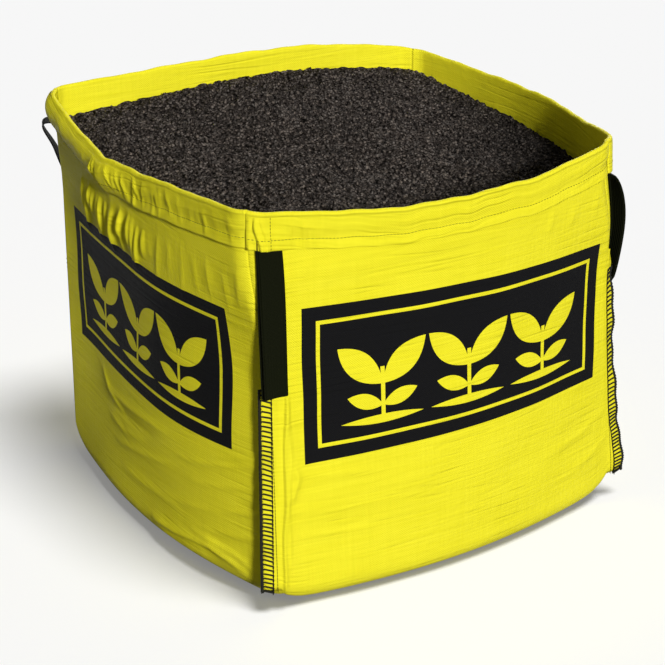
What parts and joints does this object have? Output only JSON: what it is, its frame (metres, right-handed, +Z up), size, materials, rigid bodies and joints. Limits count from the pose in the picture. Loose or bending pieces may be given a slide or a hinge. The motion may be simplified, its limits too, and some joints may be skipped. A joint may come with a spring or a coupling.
{
  "type": "bulk bag of topsoil",
  "caption": "Open square bulk bag of woven yellow cloth with a turned-out hem and black webbing lifting loops at its corners, filled near the rim with dark topsoil.",
  "frame": {"origin": "middle of the base, on the ground", "axes": "+Z up; -Y faces the front panel, +X the right panel"},
  "size_m": [1.0395, 1.0491, 0.8776],
  "materials": {
    "cloth": "coated woven tape, slight sheen",
    "webbing": "matte woven webbing",
    "soil": "matte loose crumbs"
  },
  "bodies": {
    "root": {"front_panel": "cloth", "right_panel": "cloth", "back_panel": "cloth", "left_panel": "cloth", "base_panel": "cloth", "lift_loop_front_left": "webbing", "lift_loop_front_right": "webbing", "lift_loop_back_right": "webbing", "lift_loop_back_left": "webbing", "topsoil": "soil"}
  },
  "joints": []
}
